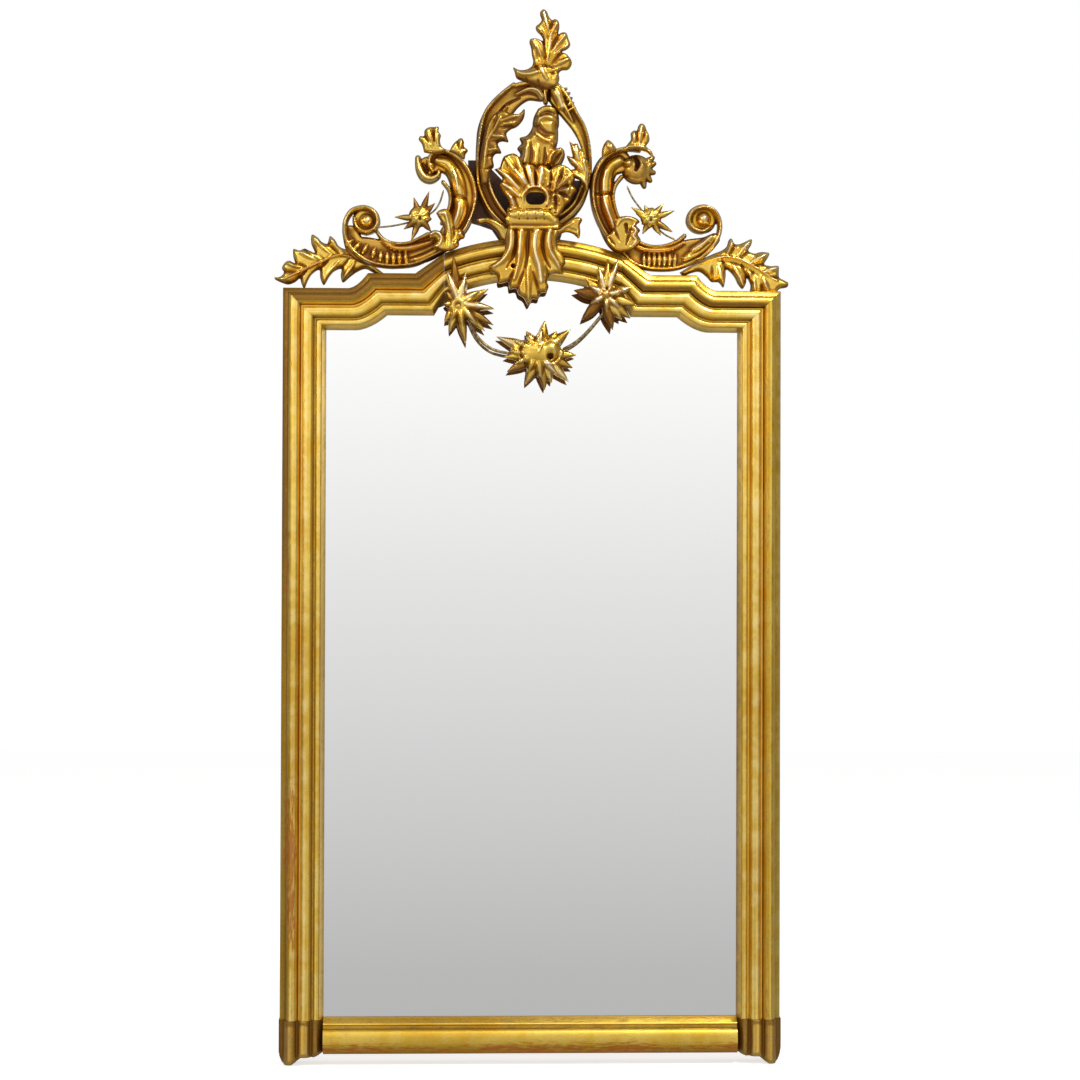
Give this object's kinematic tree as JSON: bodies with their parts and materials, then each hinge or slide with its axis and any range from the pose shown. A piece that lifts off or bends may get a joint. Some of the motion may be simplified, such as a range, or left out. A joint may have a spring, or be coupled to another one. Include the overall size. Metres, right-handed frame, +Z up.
{
  "type": "gilt wood wall mirror",
  "caption": "Tall wall mirror in a gilt moulded frame with a stepped, arched top and a pierced carved crest of scrolls, leaves and flowers.",
  "frame": {"origin": "on the wall plane, at the middle of the back face of the bottom rail", "axes": "+Z up, +Y into the wall, the front faces -Y, +X to the right as seen from the front"},
  "size_m": [0.986, 0.1086, 2.0044],
  "materials": {
    "gilt_moulding": "worn water gilding over red bole and gesso",
    "gilt_carving": "water gilding with brown patina in the hollows",
    "bronzed_wire": "gilded wire, dulled",
    "silvered_glass": "silvered plate glass",
    "bare_softwood": "bare, aged softwood",
    "dark_wood": "dark stained wood",
    "blackened_iron": "blackened, lightly rusted iron"
  },
  "bodies": {
    "frame": {"left_stile": "gilt_moulding", "right_stile": "gilt_moulding", "top_rail_left": "gilt_moulding", "top_rail_right": "gilt_moulding", "top_arch": "gilt_moulding", "bottom_rail": "gilt_moulding", "corner_foot_left": "gilt_moulding", "corner_foot_right": "gilt_moulding", "mirror_glass": "silvered_glass", "back_board_lower": "bare_softwood", "back_board_middle": "bare_softwood", "back_board_upper": "bare_softwood", "batten_lower": "bare_softwood", "batten_upper": "bare_softwood", "hanger_strap_left": "blackened_iron", "hanger_screw_left_1": "blackened_iron", "hanger_screw_left_2": "blackened_iron", "hanger_strap_right": "blackened_iron", "hanger_screw_right_1": "blackened_iron", "hanger_screw_right_2": "blackened_iron", "volute_scroll_left": "gilt_carving", "c_scroll_left": "gilt_carving", "volute_scroll_right": "gilt_carving", "c_scroll_right": "gilt_carving", "crest_back_plate": "dark_wood", "ring_limb_left": "gilt_carving", "ring_limb_right": "gilt_carving", "calyx_bell": "gilt_carving", "bud": "gilt_carving", "shell": "gilt_carving", "clasp_band": "gilt_carving", "clasp": "gilt_carving", "limb_leaf_left": "gilt_carving", "limb_leaf_right": "gilt_carving", "scroll_leaf_left_outer": "gilt_carving", "scroll_leaf_left_inner": "gilt_carving", "scroll_leaf_right_outer": "gilt_carving", "scroll_leaf_right_inner": "gilt_carving", "junction_leaf_left": "gilt_carving", "junction_leaf_right": "gilt_carving", "finial_leaf": "gilt_carving", "clasp_leaf_left": "gilt_carving", "clasp_leaf_right": "gilt_carving", "side_leaf_left": "gilt_carving", "side_leaf_right": "gilt_carving", "rosette_wire_left": "bronzed_wire", "rosette_left": "gilt_carving", "rosette_wire_right": "bronzed_wire", "rosette_right": "gilt_carving", "garland_flower_left": "gilt_carving", "garland_flower_middle": "gilt_carving", "garland_flower_right": "gilt_carving", "garland_stem_left": "bronzed_wire", "garland_stem_right": "bronzed_wire"},
    "ring_left": {"hanger_ring_left": "blackened_iron"},
    "ring_right": {"hanger_ring_right": "blackened_iron"}
  },
  "joints": [
    {"name": "ring_left_swing", "type": "hinge", "parent": "frame", "child": "ring_left", "pos_m": [-0.25, -0.006, 1.2285], "axis": [1, 0, 0], "range_deg": [0, 170]},
    {"name": "ring_right_swing", "type": "hinge", "parent": "frame", "child": "ring_right", "pos_m": [0.25, -0.006, 1.2285], "axis": [1, 0, 0], "range_deg": [0, 170]}
  ]
}
